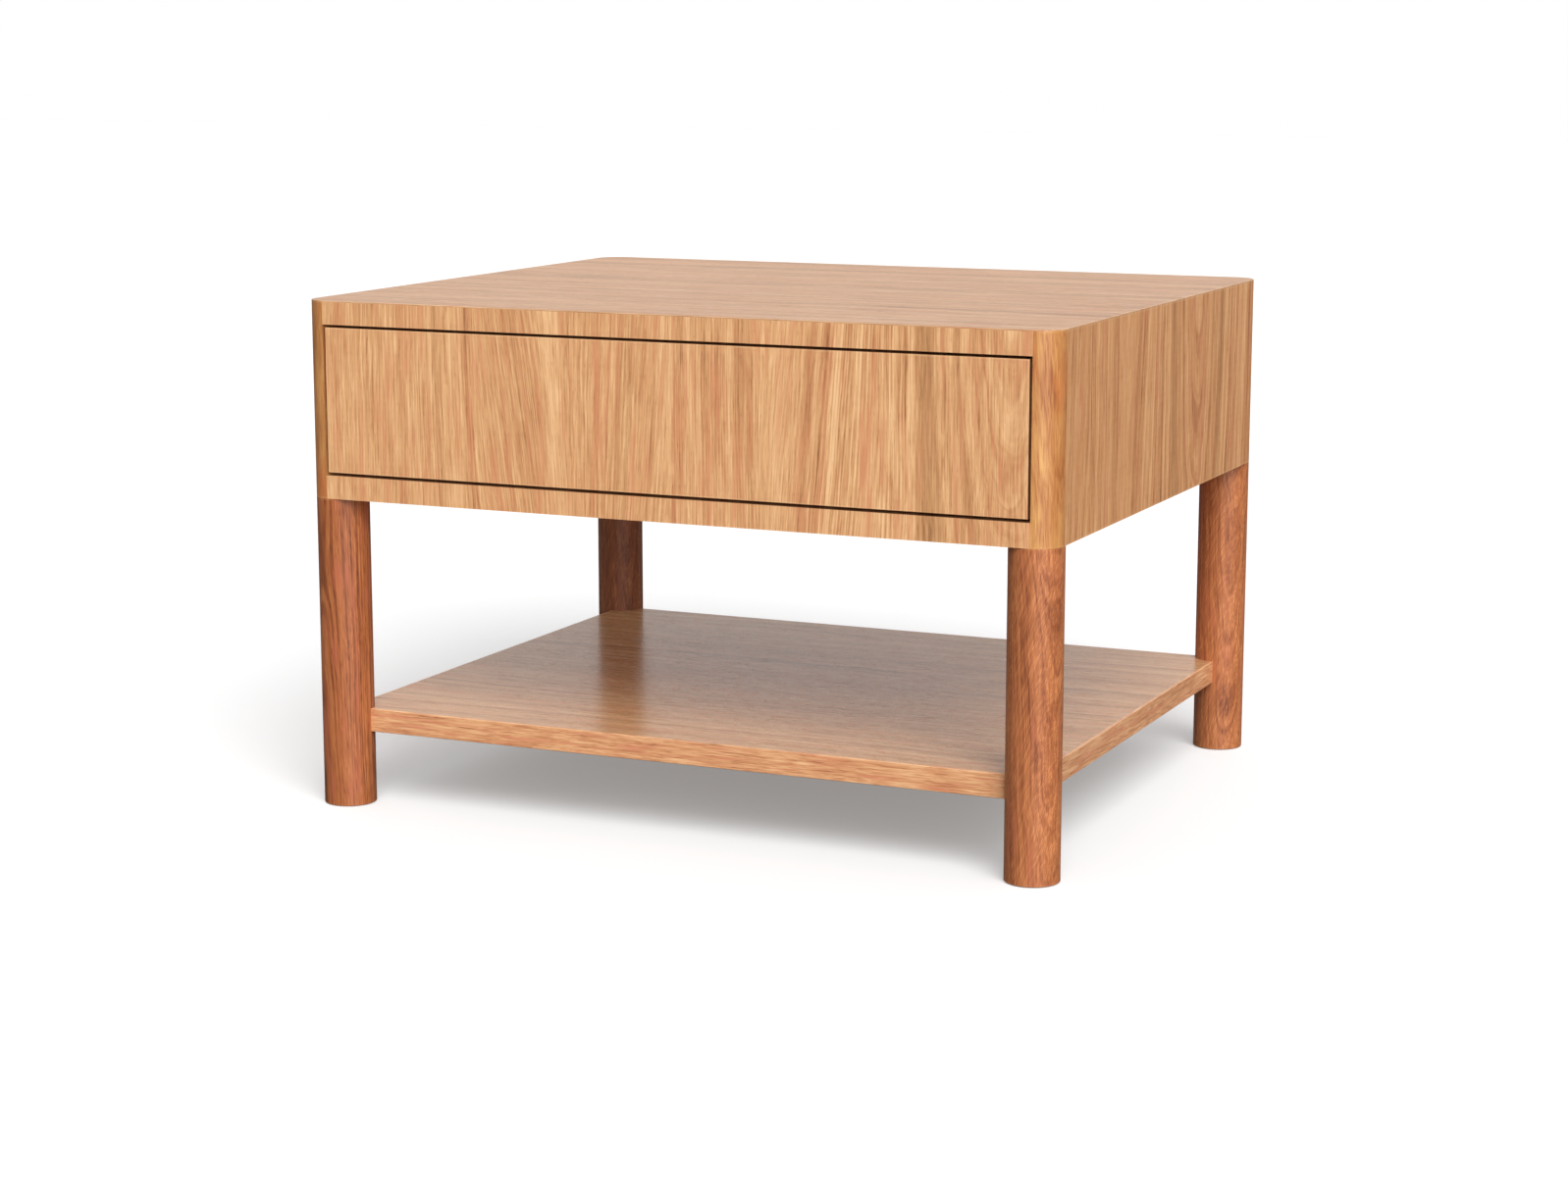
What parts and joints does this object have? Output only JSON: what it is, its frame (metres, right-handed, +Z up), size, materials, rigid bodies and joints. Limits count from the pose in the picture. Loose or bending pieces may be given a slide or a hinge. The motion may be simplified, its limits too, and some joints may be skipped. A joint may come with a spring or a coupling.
{
  "type": "side table with drawer",
  "caption": "Low rectangular oak side table with a flush push-to-open drawer, rounded corners, round legs and an open lower shelf.",
  "frame": {"origin": "on the floor, under the centre of the table top", "axes": "+Z up, +X to the right as seen from the front, +Y to the back; the drawer opens towards -Y"},
  "size_m": [0.6, 0.5, 0.39],
  "materials": {
    "oak_top": "satin left-right oak veneer",
    "oak_front": "satin vertical oak veneer",
    "oak_side": "satin vertical oak veneer",
    "oak_post": "satin solid oak",
    "oak_leg": "satin turned red-brown oak",
    "oak_shelf": "semi-gloss left-right oak veneer",
    "oak_edge": "satin oak edge band",
    "panel_core": "veneered board",
    "birch_ply": "clear-lacquered birch plywood",
    "beech": "plain beech dowel",
    "runner_steel": "zinc-plated sheet steel",
    "zinc_steel": "zinc-plated steel",
    "spring_steel": "bright spring wire",
    "ball_steel": "polished bearing steel",
    "brass": "plain brass",
    "cage_plastic": "natural white plastic",
    "latch_plastic": "grey moulded plastic",
    "plunger_plastic": "pale grey moulded plastic",
    "nylon": "dark nylon"
  },
  "bodies": {
    "table": {"top_veneer": "oak_top", "top_panel": "panel_core", "bottom_panel": "panel_core", "left_side_panel": "oak_side", "right_side_panel": "oak_side", "back_panel": "oak_side", "front_top_rail": "oak_front", "front_bottom_rail": "oak_front", "front_left_post": "oak_post", "front_right_post": "oak_post", "back_left_post": "oak_post", "back_right_post": "oak_post", "front_left_leg": "oak_leg", "front_right_leg": "oak_leg", "back_left_leg": "oak_leg", "back_right_leg": "oak_leg", "leg_glides": "nylon", "leg_bolts": "zinc_steel", "leg_inserts": "brass", "leg_dowels": "beech", "case_dowels": "beech", "shelf_board": "oak_shelf", "shelf_front_edge_band": "oak_edge", "shelf_back_edge_band": "oak_edge", "shelf_left_edge_band": "oak_edge", "shelf_right_edge_band": "oak_edge", "shelf_dowels": "beech", "left_runner_cabinet_member": "runner_steel", "right_runner_cabinet_member": "runner_steel", "runner_cabinet_screws": "zinc_steel", "left_latch_housing": "latch_plastic", "right_latch_housing": "latch_plastic", "latch_springs": "spring_steel", "latch_screws": "zinc_steel"},
    "drawer": {"drawer_front": "oak_front", "drawer_sub_front": "birch_ply", "drawer_back": "birch_ply", "drawer_left_side": "birch_ply", "drawer_right_side": "birch_ply", "drawer_bottom": "birch_ply", "drawer_dowels": "beech", "drawer_front_screws": "zinc_steel", "drawer_bottom_screws": "zinc_steel", "left_runner_drawer_member": "runner_steel", "right_runner_drawer_member": "runner_steel", "runner_drawer_screws": "zinc_steel", "strike_plates": "zinc_steel"},
    "left_runner_middle": {"left_runner_middle_member": "runner_steel"},
    "left_outer_ball_cage": {"left_runner_outer_cage": "cage_plastic", "left_runner_outer_balls": "ball_steel"},
    "left_inner_ball_cage": {"left_runner_inner_cage": "cage_plastic", "left_runner_inner_balls": "ball_steel"},
    "left_plunger": {"left_latch_plunger": "plunger_plastic"},
    "right_runner_middle": {"right_runner_middle_member": "runner_steel"},
    "right_outer_ball_cage": {"right_runner_outer_cage": "cage_plastic", "right_runner_outer_balls": "ball_steel"},
    "right_inner_ball_cage": {"right_runner_inner_cage": "cage_plastic", "right_runner_inner_balls": "ball_steel"},
    "right_plunger": {"right_latch_plunger": "plunger_plastic"}
  },
  "joints": [
    {"name": "drawer_slide", "type": "slide", "parent": "table", "child": "drawer", "axis": [0, -1, 0], "range_m": [-0.003, 0.4]},
    {"name": "left_runner_middle_slide", "type": "slide", "parent": "table", "child": "left_runner_middle", "axis": [0, -1, 0], "range_m": [-0.0015, 0.2]},
    {"name": "left_outer_cage_slide", "type": "slide", "parent": "table", "child": "left_outer_ball_cage", "axis": [0, -1, 0], "range_m": [-0.00075, 0.1]},
    {"name": "left_inner_cage_slide", "type": "slide", "parent": "table", "child": "left_inner_ball_cage", "axis": [0, -1, 0], "range_m": [-0.00225, 0.3001]},
    {"name": "left_latch_plunger_slide", "type": "slide", "parent": "table", "child": "left_plunger", "axis": [0, -1, 0], "range_m": [-0.00015, 0.02], "deforming": ["latch_springs"]},
    {"name": "right_runner_middle_slide", "type": "slide", "parent": "table", "child": "right_runner_middle", "axis": [0, -1, 0], "range_m": [-0.0015, 0.2]},
    {"name": "right_outer_cage_slide", "type": "slide", "parent": "table", "child": "right_outer_ball_cage", "axis": [0, -1, 0], "range_m": [-0.00075, 0.1]},
    {"name": "right_inner_cage_slide", "type": "slide", "parent": "table", "child": "right_inner_ball_cage", "axis": [0, -1, 0], "range_m": [-0.00225, 0.3001]},
    {"name": "right_latch_plunger_slide", "type": "slide", "parent": "table", "child": "right_plunger", "axis": [0, -1, 0], "range_m": [-0.00015, 0.02]}
  ],
  "couplings": [
    {"joint": "left_runner_middle_slide", "follows": "drawer_slide", "ratio": 0.5},
    {"joint": "left_outer_cage_slide", "follows": "drawer_slide", "ratio": 0.25},
    {"joint": "left_inner_cage_slide", "follows": "drawer_slide", "ratio": 0.75},
    {"joint": "left_latch_plunger_slide", "follows": "drawer_slide", "ratio": 0.05},
    {"joint": "right_runner_middle_slide", "follows": "drawer_slide", "ratio": 0.5},
    {"joint": "right_outer_cage_slide", "follows": "drawer_slide", "ratio": 0.25},
    {"joint": "right_inner_cage_slide", "follows": "drawer_slide", "ratio": 0.75},
    {"joint": "right_latch_plunger_slide", "follows": "drawer_slide", "ratio": 0.05}
  ]
}
